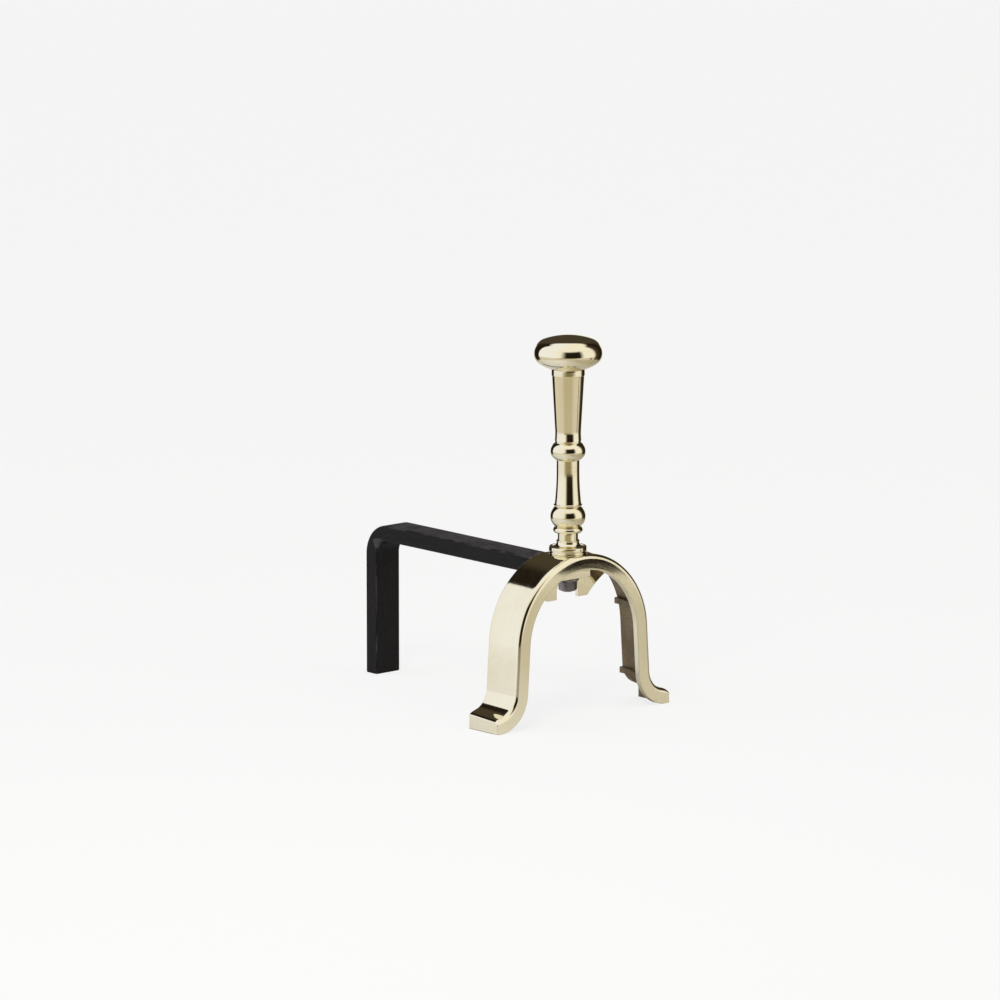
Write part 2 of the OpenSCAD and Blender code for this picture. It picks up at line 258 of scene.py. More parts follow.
def makeLamp(s):
    # It lights the object and the floor, and the brass doesn't mirror it
    data = bpy.data.lights.new(s["name"], "AREA")
    data.shape = "SQUARE"
    data.size = s["size"]
    data.energy = s["watts"]
    data.color = s["tint"]
    lamp = bpy.data.objects.new(s["name"], data)
    lamp.location = s["place"]
    lamp.rotation_euler = (Vector(s["aim"]) - lamp.location).to_track_quat("-Z", "Y").to_euler()
    lamp.visible_glossy = False
    scene.collection.objects.link(lamp)


floorLook = {
    "half": 20,                    # metres
    "tone": rgba(0.86, 0.85, 0.83),
    "speck": rgba(0.80, 0.79, 0.77),
    "specks": (300, 4, 0.5),
    "speckShare": 0.2,
    "rough": 0.75,
    "shown": 0.80,                 # share of plain white that the camera sees in place of the lit floor
    # Painted reflections, seen only by glossy rays so that the brass mirrors them, in metres from the arch
    "reflectedTableLeft": rgba(0.84, 0.85, 0.88),
    "reflectedTableRight": rgba(0.52, 0.475, 0.36),
    "reflectedTableTurn": (-0.2, 0.3),      # where the left tone gives way to the right one
    "reflectedTableEnd": (0.42, 0.72),      # where the painted table reflection gives way to the room
    "reflectedTableRough": 0.12,
    # Where the dark band lies: a painted dark reflection for the crown's front face
    "darkReflectionTurn": 84.3,               # degrees to the right of the camera
    "darkReflectionNear": (0.586, 0.590),
    "darkReflectionFar": (1.05, 1.03),
    "darkReflectionSide": (0.042, 0.034),
}


def makeFloor(s):
    finish = Finish(bpy.data.materials.new("paleFloor"))
    place = finish.place()
    tone = finish.blend(finish.noise(place, s["specks"]) * s["speckShare"], s["tone"], s["speck"])
    lit = finish.node("BsdfPrincipled", Base_Color=tone, Roughness=s["rough"])
    white = finish.node("Emission", Color=rgba(1, 1, 1), Strength=1.0)
    # Glossy rays alone see painted reflections here: a beige table, a dark band at its edge that paints a
    # dark reflection on the crown's front face, and the room beyond
    x, y, z = finish.parts(place)
    y = y - frontY
    way = math.radians(cameraView["azimuth"] - s["darkReflectionTurn"])
    away = x * -math.sin(way) - y * math.cos(way)
    aside = x * math.cos(way) - y * math.sin(way)
    # The dark band paints a dark reflection on the crown's front face
    darkReflection = away.step(*s["darkReflectionNear"]) * away.step(*s["darkReflectionFar"]) * abs(aside).step(*s["darkReflectionSide"])
    beyond = (x * x + y * y).math("SQRT").step(*s["reflectedTableEnd"]) * (1 - darkReflection)
    reflectedTable = finish.blend(away.step(*s["reflectedTableTurn"]), s["reflectedTableLeft"], s["reflectedTableRight"])
    reflectedTable = finish.node("BsdfPrincipled", Base_Color=reflectedTable, Roughness=s["reflectedTableRough"])
    dark = finish.node("BsdfDiffuse", Color=room["dark"])
    mirrored = finish.node("MixShader", n0=darkReflection, n1=reflectedTable, n2=dark)
    mirrored = finish.node("MixShader", n0=beyond, n1=mirrored, n2=finish.node("BsdfTransparent"))
    isCamera = finish.node("LightPath", output="Is Camera Ray")
    isGlossy = finish.node("LightPath", output="Is Glossy Ray")
    shown = finish.node("MixShader", n0=isCamera * s["shown"], n1=lit, n2=white)
    material = finish.close(finish.node("MixShader", n0=isGlossy, n1=shown, n2=mirrored))
    half = s["half"]
    mesh = bpy.data.meshes.new("floor")
    square = [(-half, -half, 0), (half, -half, 0), (half, half, 0), (-half, half, 0)]
    mesh.from_pydata(square, [], [(0, 1, 2, 3)])
    mesh.materials.append(material)
    floor = bpy.data.objects.new("floor", mesh)
    scene.collection.objects.link(floor)


roomLight(room)
makeLamp(softbox)
makeFloor(floorLook)
print("studio built")


# In each finish a noise is its scale, detail and roughness, and a range is where it begins and is full
brassLook = {
    "base": rgba(0.900, 0.835, 0.620),
    "warm": rgba(0.800, 0.700, 0.440),
    "rough": 0.035,
    "patches": (22, 3, 0.55),
    "patchRange": (0.42, 0.72),
    "patchTone": 0.30,             # share of the warm tone in the patches
    "patchRough": 0.02,
    "spots": (420, 2, 0.5),
    "spotRange": (0.66, 0.80),
    "spotTone": 0.18,
    "lines": (1.0, 5, 0.65),
    "lineToneRange": (0.45, 0.75),
    "lineTone": 0.22,
    "lineRoughRange": (0.3, 0.8),
    "lineRough": 0.06,
    "lineDepth": 0.0000028,        # metres
    "wave": (34, 2, 0.4),
    "waveDepth": 0.00004,          # metres of unevenness left by the polishing wheel
}


def alongStrap(finish, place, s):
    # Bends the place with the strap: distance from the crown's centre or middle line, depth, and way along
    x, y, z = finish.parts(place)
    radius = s["crownRadius"] * mm
    above = z - (s["crest"] * mm - radius)
    over = above.most(0)
    out = (x * x + over * over).math("SQRT")
    along = x.math("ARCTAN2", over) * radius + x.math("SIGN") * (over - above)
    return finish.node("CombineXYZ", X=out, Y=y, Z=along)


def polishedBrass(name, s, lineScale, followed=None):
    # The polishing lines are noise with a large scale across them and a small one along them
    finish = Finish(bpy.data.materials.new(name))
    place = finish.place()
    patches = finish.noise(place, s["patches"]).step(*s["patchRange"])
    spots = finish.noise(place, s["spots"]).step(*s["spotRange"])
    way = alongStrap(finish, place, followed) if followed else place
    lines = finish.noise(way, s["lines"], lineScale)
    warmth = (patches * s["patchTone"]).most(spots * s["spotTone"])
    warmth = warmth + lines.step(*s["lineToneRange"]) * s["lineTone"]
    tone = finish.blend(warmth, s["base"], s["warm"])
    rough = lines.step(*s["lineRoughRange"]) * s["lineRough"] + patches * s["patchRough"] + s["rough"]
    wave = finish.bump(finish.noise(place, s["wave"]), s["waveDepth"])
    normal = finish.bump(lines, s["lineDepth"], wave)
    shader = finish.node("BsdfPrincipled", Base_Color=tone, Metallic=1.0, Roughness=rough, Normal=normal)
    return finish.close(shader)


castLook = {
    "base": rgba(0.225, 0.165, 0.090),
    "light": rgba(0.36, 0.285, 0.165),
    "dark": rgba(0.080, 0.055, 0.032),
    "metal": 0.85,
    "rough": 0.32,
    "broad": (38, 4, 0.6),
    "broadRange": (0.35, 0.68),
    "broadRough": 0.2,
    "grain": (1100, 4, 0.7),
    "grainRange": (0.62, 0.42),
    "grainTone": 0.35,
    "grainRough": 0.15,
    "grainDepth": 0.00018,         # metres
    "pits": (420, 3, 0.6),
    "pitRange": (0.38, 0.28),
    "pitTone": 0.8,
    "pitDepth": 0.6,               # as a share of the grain's
}


def asCastBrass(s):
    # The back keeps the sandy skin of the mould, brown and only wiped over
    finish = Finish(bpy.data.materials.new("asCastBrass"))
    place = finish.place()
    broad = finish.noise(place, s["broad"])
    grain = finish.noise(place, s["grain"])
    pits = finish.noise(place, s["pits"]).step(*s["pitRange"])
    tone = finish.blend(broad.step(*s["broadRange"]), s["base"], s["light"])
    shade = (pits * s["pitTone"]).most(grain.step(*s["grainRange"]) * s["grainTone"])
    tone = finish.blend(shade, tone, s["dark"])
    rough = broad * s["broadRough"] + grain * s["grainRough"] + s["rough"]
    normal = finish.bump(grain - pits * s["pitDepth"], s["grainDepth"])
    shader = finish.node("BsdfPrincipled", Base_Color=tone, Metallic=s["metal"], Roughness=rough,
                         Normal=normal)
    return finish.close(shader)


ironLook = {
    "base": rgba(0.0065, 0.0055, 0.0055),
    "dusty": rgba(0.018, 0.0165, 0.0165),
    "dustAndTopLight": rgba(0.054, 0.051, 0.052),
    "wornAndHighlit": rgba(0.10, 0.093, 0.088),
    "rough": 0.34,
    "specular": 0.16,
    "legPast": (-4, 12),           # mm behind the start of the bend where the strokes turn down
    "legBelow": (8, 22),           # and mm below the top
    "stroke": (1.0, 5, 0.6),
    "strokeScale": (1100, 26),     # across the bar and along it
    "strokeRange": (0.40, 0.70),
    "strokeTone": 0.6,
    "strokeRough": 0.14,
    "strokeDepth": 0.00003,        # metres
    "mottle": (75, 4, 0.6),
    "mottleRange": (0.55, 0.75),
    "mottleTone": 0.4,
    "mottleRough": 0.16,
    "grit": (900, 3, 0.6),
    "flake": (230, 3, 0.65),
    "flakeRange": (0.55, 0.61),
    "flakeTone": 0.6,
    "scaleMix": (0.7, 0.3, 0.5),   # mottle, grit and flakes in the mill scale's relief
    "scaleDepth": 0.00008,         # metres
    "upward": (0.6, 0.95),         # how far a face looks up where dust and a painted top light lie
    "dustAndTopLightMix": (0.5, 0.5),         # stroke and mottle
    "dustAndTopLightRange": (0.36, 0.60),
    "edgeIn": (1.5, 0.3),          # mm in from both faces where an edge's wear and painted highlight begin and are full
    "wearAndHighlightMix": (0.4, 0.6),         # stroke and mottle
    "wearAndHighlightRange": (0.44, 0.58),
    "wearAndHighlightTone": 0.7,
    "wearRough": 0.1,
    "wearMetal": 0.6,
}


def blackIron(s, bar):
    # Matt black over hot-rolled bar: strokes run along the bar, up-facing faces carry dust plus a painted top
    # light, and its edges have rubbed through, with a painted edge highlight
    finish = Finish(bpy.data.materials.new("blackIron"))
    place = finish.place()
    x, y, z = finish.parts(place)
    bendY = bar["back"] - bar["bend"]
    leg = y.step(*[frontY + (bendY + past) * mm for past in s["legPast"]])
    leg = leg * z.step(*[(bar["top"] - below) * mm for below in s["legBelow"]])
    across, length = s["strokeScale"]
    strokeRun = finish.noise(place, s["stroke"], (across, length, across))
    strokeLeg = finish.noise(place, s["stroke"], (across, across, length))
    stroke = strokeRun + (strokeLeg - strokeRun) * leg
    mottle = finish.noise(place, s["mottle"])
    grit = finish.noise(place, s["grit"])
    flake = finish.noise(place, s["flake"]).step(*s["flakeRange"])
    # Distance from the bar's middle plane, which stands upright in the leg
    offRun = abs(z - (bar["top"] - bar["thick"] / 2) * mm)
    offLeg = abs(y - (frontY + (bar["back"] - bar["thick"] / 2) * mm))
    off = offRun + (offLeg - offRun) * leg
    # The edges turn lighter: rubbed-through wear, and a painted edge highlight
    edge = abs(x).step(*[(bar["wide"] / 2 - inside) * mm for inside in s["edgeIn"]])
    edge = edge * off.step(*[(bar["thick"] / 2 - inside) * mm for inside in s["edgeIn"]])
    wearAndHighlight = edge * (stroke * s["wearAndHighlightMix"][0] + mottle * s["wearAndHighlightMix"][1]).step(*s["wearAndHighlightRange"])
    # Up-facing faces turn lighter: dust, and a painted top light
    upward = finish.parts(finish.node("NewGeometry", output="Normal"))[2].step(*s["upward"])
    dustAndTopLight = upward * (stroke * s["dustAndTopLightMix"][0] + mottle * s["dustAndTopLightMix"][1]).step(*s["dustAndTopLightRange"])
    tone = finish.blend(stroke.step(*s["strokeRange"]) * s["strokeTone"], s["base"], s["dusty"])
    tone = finish.blend(mottle.step(*s["mottleRange"]) * s["mottleTone"], tone, s["base"])
    tone = finish.blend(dustAndTopLight, tone, s["dustAndTopLight"])
    tone = finish.blend(flake * s["flakeTone"], tone, s["base"])
    tone = finish.blend(wearAndHighlight * s["wearAndHighlightTone"], tone, s["wornAndHighlit"])
    rough = mottle * s["mottleRough"] + stroke * s["strokeRough"] + s["rough"] - wearAndHighlight * s["wearRough"]
    relief = mottle * s["scaleMix"][0] + grit * s["scaleMix"][1] - flake * s["scaleMix"][2]
    normal = finish.bump(relief, s["scaleDepth"], finish.bump(stroke, s["strokeDepth"]))
    shader = finish.node("BsdfPrincipled", Base_Color=tone, Metallic=wearAndHighlight * s["wearMetal"],
                         Roughness=rough, Specular_IOR_Level=s["specular"], Normal=normal)
    return finish.close(shader)


steelLook = {
    "base": rgba(0.36, 0.335, 0.36),
    "dark": rgba(0.17, 0.155, 0.165),
    "rough": 0.24,
    "patches": (160, 4, 0.6),
    "patchRange": (0.4, 0.7),
    "patchRough": 0.2,
    "scratch": (1.0, 4, 0.6),
    "scratchScale": (900, 2200, 260),
    "scratchRough": 0.12,
    "depth": 0.000012,             # metres
}


def dullSteel(s):
    finish = Finish(bpy.data.materials.new("dullSteel"))
    place = finish.place()
    patches = finish.noise(place, s["patches"])
    scratch = finish.noise(place, s["scratch"], s["scratchScale"])
    tone = finish.blend(patches.step(*s["patchRange"]), s["base"], s["dark"])
    rough = patches * s["patchRough"] + scratch * s["scratchRough"] + s["rough"]
    normal = finish.bump(scratch + patches, s["depth"])
    shader = finish.node("BsdfPrincipled", Base_Color=tone, Metallic=1.0, Roughness=rough, Normal=normal)
    return finish.close(shader)


def unit(vectors):
    return vectors / np.maximum(np.linalg.norm(vectors, axis=-1, keepdims=True), 1e-12)


def arc(centre, radius, start, end, steps):
    # Even steps along a circle, from one angle to another in degrees
    angle = np.radians(np.linspace(start, end, steps))
    return np.stack([centre[0] + radius * np.cos(angle), centre[1] + radius * np.sin(angle)], 1)


def roundedLoop(corners, steps):
    # Each corner (a, b, radius) becomes an arc between the points where the radius touches its two sides
    corners = np.array(corners, float)
    points, radius = corners[:, :2], corners[:, 2]
    before = unit(np.roll(points, 1, 0) - points)
    after = unit(np.roll(points, -1, 0) - points)
    half = np.arccos((before * after).sum(1)) / 2
    centre = points + unit(before + after) * (radius / np.sin(half))[:, None]
    arm = points + before * (radius / np.tan(half))[:, None] - centre
    side = np.sign(before[:, 1] * after[:, 0] - before[:, 0] * after[:, 1])
    turned = np.linspace(0, 1, steps)[None, :] * (side * (np.pi - 2 * half))[:, None]
    cos, sin = np.cos(turned), np.sin(turned)
    a = centre[:, :1] + arm[:, :1] * cos - arm[:, 1:] * sin
    b = centre[:, 1:] + arm[:, :1] * sin + arm[:, 1:] * cos
    return np.stack([a.ravel(), b.ravel()], 1)


def corners(points, radius=0.4):
    # An outline with the same small rounding at each corner
    return roundedLoop([tuple(p) + (radius,) for p in points], 4)


def finer(loop, pitch):
    # Drops doubled points and cuts each side of the closed outline into even steps within the pitch
    loop = loop[np.linalg.norm(np.roll(loop, -1, 0) - loop, axis=1) > 1e-3]
    side = np.roll(loop, -1, 0) - loop
    count = np.maximum(np.ceil(np.linalg.norm(side, axis=1) / pitch), 1).astype(int)
    index = np.arange(count.sum()) - np.repeat(np.cumsum(count) - count, count)
    return np.repeat(loop, count, 0) + np.repeat(side / count[:, None], count, 0) * index[:, None]


def makePiece(name, points, faces, materials, node, faceMaterial=None, sharp=35):
    # Points in millimetres of the part's own frame, with Y from the arch's front plane
    points = np.asarray(points, float).reshape(-1, 3) * mm + [0, frontY, 0]
    mesh = bpy.data.meshes.new(name)
    mesh.from_pydata(points, [], faces)
    for material in materials:
        mesh.materials.append(material)
    if faceMaterial is not None:
        mesh.polygons.foreach_set("material_index", np.asarray(faceMaterial, np.int32))
    shaped = bmesh.new()
    shaped.from_mesh(mesh)
    bmesh.ops.remove_doubles(shaped, verts=shaped.verts, dist=1e-6)
    bmesh.ops.recalc_face_normals(shaped, faces=shaped.faces)
    shaped.to_mesh(mesh)
    shaped.free()
    mesh.shade_smooth()
    mesh.set_sharp_from_angle(angle=math.radians(sharp))
    piece = bpy.data.objects.new(name, mesh)
    scene.collection.objects.link(piece)
    weighted = piece.modifiers.new("weighted", "WEIGHTED_NORMAL")
    weighted.keep_sharp = True
    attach(piece, "root")
    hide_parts(node)
    return piece


def gridFaces(rings, around, closeRings=False):
    # Quads between neighbouring rings; each ring closes on itself
    row = np.arange(rings if closeRings else rings - 1)[:, None]
    column = np.arange(around)[None, :]
    following = (row + 1) % rings
    beside = (column + 1) % around
    quads = np.stack(np.broadcast_arrays(row * around + column, row * around + beside,
                                         following * around + beside, following * around + column), -1)
    return quads.reshape(-1, 4)


def cappedFaces(rings, around):
    # Quads between neighbouring rings, and one face over the first ring and one over the last
    first = list(range(around))[::-1]
    last = list(range((rings - 1) * around, rings * around))
    return gridFaces(rings, around).tolist() + [first, last]


def lathe(name, loop, materials, node, around=144):
    # The closed (radius, height) outline is turned about the column's axis
    angle = np.linspace(0, 2 * np.pi, around, endpoint=False)[:, None]
    radius, height = loop[:, 0][None, :], loop[:, 1][None, :]
    points = np.stack(np.broadcast_arrays(radius * np.cos(angle), radius * np.sin(angle) + postY, height), -1)
    # A side that lies on the axis sweeps no surface, so it goes, with the points that only it uses
    onAxis = loop[:, 0] < 1e-6
    faces = gridFaces(around, len(loop), True).reshape(around, -1, 4)[:, ~(onAxis & np.roll(onAxis, -1))]
    used, faces = np.unique(faces, return_inverse=True)
    points = points.reshape(-1, 3)[used]
    return makePiece(name, points, faces.reshape(-1, 4).tolist(), materials, node)


def castBlock(name, loop, low, high, order, material, bevel=0.4):
    # The outline (a, b) runs from low to high along the third axis, and draws in by the bevel at both ends
    tangent = unit(np.roll(loop, -1, 0) - np.roll(loop, 1, 0))
    area = (loop[:, 0] * np.roll(loop[:, 1], -1) - loop[:, 1] * np.roll(loop[:, 0], -1)).sum()
    inward = np.stack([-tangent[:, 1], tangent[:, 0]], 1) * np.sign(area)
    lean = np.radians([90, 60, 30, 0])
    inset = bevel * (1 - np.cos(lean))
    short = bevel * (1 - np.sin(lean))
    inset = np.concatenate([inset, inset[::-1]])
    level = np.concatenate([low + short, high - short[::-1]])
    flat = loop[None, :, :] + inward[None, :, :] * inset[:, None, None]
    third = np.broadcast_to(level[:, None, None], flat.shape[:2] + (1,))
    points = np.concatenate([flat, third], -1)[..., list(order)]
    return makePiece(name, points, cappedFaces(len(level), len(loop)), [material], "front_arch")


strap = {
    "crownRadius": 69.0,
    "crest": 131.5,
    "width": 12.4,
    "depth": 33.5,
    "draft": 2.0,              # the outer wall leans out by this much at the back
    "plate": 5.0,
    "wall": 3.2,
    "wallBack": 2.2,
    "scoop": 5.0,
    "frontEdge": 3.6,
    "edge": 0.6,
    "innerEdge": 0.5,
    "footReach": 19.7,
    "footRadius": 17.4,
    "toe": 2.7,
    "toeRoll": 6.8,
    "toeDrop": 2.8,
    "toeEdge": 0.5,
    "soleCut": 0.2,            # how far the sole and the seat are cut flat into their arcs
    "seatCut": 1.0,
    "seatSkin": 1.2,
    "margins": (0.4, 0.05, 0.3),
    "meshStep": 1.6,
    "steps": (70, 15, 29),     # stations on half the crown, on a leg and on a curl
}


def strapSection(s):
    # (u, y) of the closed section, u from soffit to outside, and which points lie in the hollow
    slope = (s["draft"] + s["wall"] - s["wallBack"]) / (s["depth"] - s["plate"] - s["scoop"])
    inner = s["width"] - s["wall"] - slope * s["scoop"]
    back = s["width"] + s["draft"]
    outline = [
        (0, 0, s["edge"]),
        (s["width"], 0, s["frontEdge"]),
        (back, s["depth"], s["edge"]),
        (back - s["wallBack"], s["depth"], s["innerEdge"]),
        (inner, s["plate"], s["scoop"]),
        (0, s["plate"], s["innerEdge"]),
    ]
    loop = finer(roundedLoop(outline, 8), s["meshStep"])
    u, y = loop.T
    # The margins take in the hollow's rounded corners and leave out the wall's back face
    front, rear, side = s["margins"]
    wallLine = back - s["wallBack"] - slope * (s["depth"] - y)
    hollow = (y > s["plate"] - front) & (y < s["depth"] - rear) & (u < np.maximum(wallLine, 0) + side)
    return loop, hollow


def stationRows(centre, aim, radius, way):
    # One row for each direction: the centre, the direction, the radius at u = 0 and the sign of u
    count = len(aim)
    return np.hstack([np.broadcast_to(centre, (count, 2)), aim, np.tile([radius, way], (count, 1))])


def strapStations(s):
    # The right half from crest to toe: the crown's arc, the common tangent, and the curl's arc the other way
    crownSteps, legSteps, curlSteps = s["steps"]
    centreZ = s["crest"] - s["crownRadius"]
    footX = s["crownRadius"] + s["footReach"]
    soleRadius = s["footRadius"] + s["width"]
    footZ = soleRadius - s["soleCut"]
    rise = centreZ - footZ
    tilt = math.acos((s["crownRadius"] + s["footRadius"]) / math.hypot(footX, rise)) - math.atan2(rise, footX)
    length = footX * math.sin(tilt) + rise * math.cos(tilt)
    soffit = s["crownRadius"] - s["width"]
    outward = np.array([math.cos(tilt), math.sin(tilt)])
    down = np.array([math.sin(tilt), -math.cos(tilt)])
    turn = np.linspace(0, np.pi / 2 - tilt, crownSteps)[:, None]
    crown = stationRows([0, centreZ], np.hstack([np.sin(turn), np.cos(turn)]), soffit, 1)
    run = np.linspace(0, length, legSteps + 1)[1:, None]
    leg = stationRows([0, centreZ] + down * run, np.tile(outward, (legSteps, 1)), soffit, 1)
    swing = np.linspace(0, np.pi / 2 - tilt, curlSteps + 1)[1:, None]
    curl = stationRows([footX, footZ], down * np.sin(swing) - outward * np.cos(swing), soleRadius, -1)
    return np.concatenate([crown, leg, curl]), footX, footZ, soleRadius


def makeStrap(s, polished, rough):
    # A point is its station's centre plus the direction times the radius at u = 0 plus or minus u
    loop, hollow = strapSection(s)
    u, y = loop.T
    stations, footX, footZ, soleRadius = strapStations(s)
    centre, aim = stations[:, None, 0:2], stations[:, None, 2:4]
    radius, way = stations[:, 4:5], stations[:, 5:6]
    sweep = centre + aim * (radius + way * u[None, :])[..., None]
    # The toe goes on in upright sections, and its closing wall fills the hollow
    solid = np.where(hollow, 0, u)
    lean = np.radians([0, 30, 60, 90])
    inset = np.concatenate([[0, 0, 0], s["toeEdge"] * (1 - np.cos(lean))])
    out = np.concatenate([s["toe"] * np.array([0, 0.3, 0.6]), s["toe"] - s["toeEdge"] * (1 - np.sin(lean))])
    middle = np.array([s["width"] / 2, s["depth"] / 2])
    shrink = 1 - inset[:, None] / middle
    toeU = middle[0] + (solid[None, :] - middle[0]) * shrink[:, :1]
    toeY = middle[1] + (y[None, :] - middle[1]) * shrink[:, 1:]
    across = np.broadcast_to(out[:, None], toeU.shape)
    x = np.concatenate([sweep[..., 0], footX + across])
    z = np.concatenate([sweep[..., 1], footZ - np.sqrt((soleRadius - toeU) ** 2 - across ** 2)])
    depth = np.concatenate([np.broadcast_to(y, sweep.shape[:2]), toeY])
    # The crest has a flat seat, with a skin over the hollow
    seat = s["crest"] - s["seatCut"]
    z = np.minimum(z, np.where(hollow, seat - s["seatSkin"], seat))
    # The toe's top rolls down to its end. A ramp touches the curl's circle and the roll's circle, and each
    # height is drawn down in that proportion
    along = x - footX
    lead = s["toeRoll"] - s["toe"]
    rollRadius = (s["toeRoll"] ** 2 + s["toeDrop"] ** 2) / (2 * s["toeDrop"])
    flare = s["draft"] * depth / s["depth"]
    curl = s["footRadius"] - flare
    slant = 2 * np.arctan(lead / (curl + rollRadius))
    rampEnd = rollRadius * np.sin(slant) - lead
    level = s["width"] - s["soleCut"] + flare - rollRadius
    roll = level + np.sqrt(np.maximum(rollRadius ** 2 - np.maximum(along + lead, 0) ** 2, 0))
    ramp = level + rollRadius * np.cos(slant) - np.tan(slant) * (along - rampEnd)
    plainTop = footZ - np.sqrt(np.maximum(curl ** 2 - along ** 2, 0))
    lowered = np.where(along > rampEnd, roll, ramp) / plainTop
    z = np.where(along > -curl * np.sin(slant), z * lowered, z)
    # The sole is flat, and its end is rounded like the toe's other edges
    z = np.maximum(z, np.concatenate([np.zeros(len(sweep)), inset])[:, None])
    right = np.stack([x, depth, z], -1)
    left = right[:0:-1] * [-1, 1, 1]
    points = np.concatenate([left, right])
    rings, around = points.shape[:2]
    dull = np.tile(hollow & np.roll(hollow, -1), rings - 1).astype(int)
    dull = np.concatenate([dull, [0, 0]])
    return makePiece("archStrap", points, cappedFaces(rings, around), [polished, rough], "front_arch",
                     dull)


lug = {
    "reach": 9.5,              # from the column's axis to the front
    "nose": 2.5,
    "cheek": 2.75,
    "cheekBack": 4.5,
    "lap": 0.5,                # how far the cheeks reach into the nose
    "pad": 18.0,
    "padBack": 0.2,
    "webDrop": 17.0,
    "webFoot": 21.0,
    "webReach": 45.0,
    "webTip": 0.6,
    "webSink": 1.6,            # into the crown's wall
    "webThick": 4.0,
    "flankRadius": 69.0,
    "ledge": 1.0,
    "notch": 11.5,
    "relief": 9.2,
    "slot": 12.65,
    "roofSink": 0.4,
    "cheekFall": (1.5, 2.0),   # the tops fall with the crown, from the middle outwards
    "noseFall": (0.3, 2.0),
    "padFall": (0.0, 2.2),
    "meshStep": 2.0,
}


def webOutline(s, strapSize, under):
    # (x, z) of the web: its hollow flank, its run along the wall, the bar's channel, and the nut's notch
    centreZ = strapSize["crest"] - strapSize["crownRadius"]
    ring = strapSize["crownRadius"] - strapSize["wall"] + s["webSink"]
    footZ = under - s["webDrop"]
    reachZ = centreZ + math.sqrt((ring - s["webTip"]) ** 2 - s["webReach"] ** 2)
    # The flank's centre lies on the chord's perpendicular
    chord = np.array([s["webReach"] - s["webFoot"], reachZ - footZ])
    length = np.linalg.norm(chord)
    across = np.array([chord[1], -chord[0]]) / length
    middle = np.array([s["webFoot"], footZ]) + chord / 2
    centre = middle + math.sqrt(s["flankRadius"] ** 2 - length ** 2 / 4) * across
    first = math.degrees(math.atan2(footZ - centre[1], s["webFoot"] - centre[0]))
    last = math.degrees(math.atan2(reachZ - centre[1], s["webReach"] - centre[0]))
    outer, inner = [math.degrees(math.acos(s[key] / ring)) for key in ("webReach", "slot")]
    meet = math.degrees(math.acos(s["relief"] / s["notch"]))
    outline = np.concatenate([
        arc(centre, s["flankRadius"], first, last, 16),
        arc((0, centreZ), ring, outer, inner, 20),
        [[s["slot"], under - s["ledge"]], [s["relief"], under - s["ledge"]]],
        arc((0, under - s["notch"]), s["notch"], meet, 0, 10),
        [[s["notch"], footZ]],
    ])
    return finer(outline, s["meshStep"])


def makeLug(s, strapSize, barSize, material):
    # Two webs, two cheeks beside the bar, a nose before its end and a pad over it, each an outline in x and z
    under = barSize["top"] - barSize["thick"]
    front = postY - s["reach"]
    noseBack = front + s["nose"]
    slot, outer, pad = s["slot"], s["slot"] + s["cheek"], s["pad"]
    roof = strapSize["crest"] - strapSize["wall"] + s["roofSink"]
    web = webOutline(s, strapSize, under)
    inside, outside = [roof - fall for fall in s["cheekFall"]]
    cheekBack = strapSize["depth"] - s["cheekBack"]
    for hand, side in (("Right", 1), ("Left", -1)):
        castBlock("web" + hand, web * [side, 1], postY, postY + s["webThick"], (0, 2, 1), material)
        cheek = corners([(side * slot, under), (side * outer, under), (side * outer, outside),
                         (side * slot, inside)])
        castBlock("cheek" + hand, cheek, noseBack - s["lap"], cheekBack, (0, 2, 1), material)
    inside, outside = [roof - fall for fall in s["noseFall"]]
    nose = corners([(-outer, under), (outer, under), (outer, outside), (0, inside), (-outer, outside)])
    castBlock("lugNose", nose, front, noseBack, (0, 2, 1), material)
    inside, outside = [roof - fall for fall in s["padFall"]]
    seat = corners([(-pad, barSize["top"]), (pad, barSize["top"]), (pad, outside), (0, inside),
                    (-pad, outside)])
    castBlock("seatPad", seat, front, strapSize["depth"] - s["padBack"], (0, 2, 1), material)


ribs = {
    "lowDrop": 4.6,            # below the centre of the foot's curl
    "highRise": 19.5,          # above the crown's centre
    "thick": 5.0,
    "step": 4.0,
    "inset": 2.0,              # from the soffit
    "plateSink": 1.0,
    "wallSink": (1.6, 1.0),    # into the wall, at the plate and at the back
    "short": 0.1,
    "edge": 0.8,
    "bevel": 0.7,
}


def makeRibs(s, strapSize, material):
    # Each rib is a five-sided outline in x and y, stepped at the back and thick in z
    centreZ = strapSize["crest"] - strapSize["crownRadius"]
    footX = strapSize["crownRadius"] + strapSize["footReach"]
    footZ = strapSize["footRadius"] + strapSize["width"] - strapSize["soleCut"]
    lowX = footX - math.sqrt(strapSize["footRadius"] ** 2 - s["lowDrop"] ** 2)
    highX = math.sqrt(strapSize["crownRadius"] ** 2 - s["highRise"] ** 2)
    plate = strapSize["plate"] - s["plateSink"]
    depth = strapSize["depth"]
    places = [("Low", footZ - s["lowDrop"], lowX), ("High", centreZ + s["highRise"], highX)]
    for label, height, outer in places:
        back = outer + strapSize["draft"] - strapSize["wallBack"]
        outline = corners([
            (outer - strapSize["width"] + s["inset"], plate),
            (outer - s["wallSink"][0], plate),
            (back + s["wallSink"][1], depth - s["short"]),
            (back - s["step"], depth - s["short"]),
            (back - s["step"], depth - s["thick"]),
        ], s["edge"])
        low, high = height - s["thick"] / 2, height + s["thick"] / 2
        for hand, side in (("right", 1), ("left", -1)):
            castBlock(hand + label + "Rib", outline * [side, 1], low, high, (0, 1, 2), material, s["bevel"])


bar = {
    "wide": 25.0,
    "thick": 13.0,
    "top": 124.0,
    "start": 12.65,
    "back": 249.0,
    "bend": 26.0,
    "edge": 1.4,
    "endEdge": 0.8,
    "endRun": 3.0,
    "meshStep": 2.0,
    "steps": (70, 26, 34),     # stations on the run, in the bend and down the leg
}


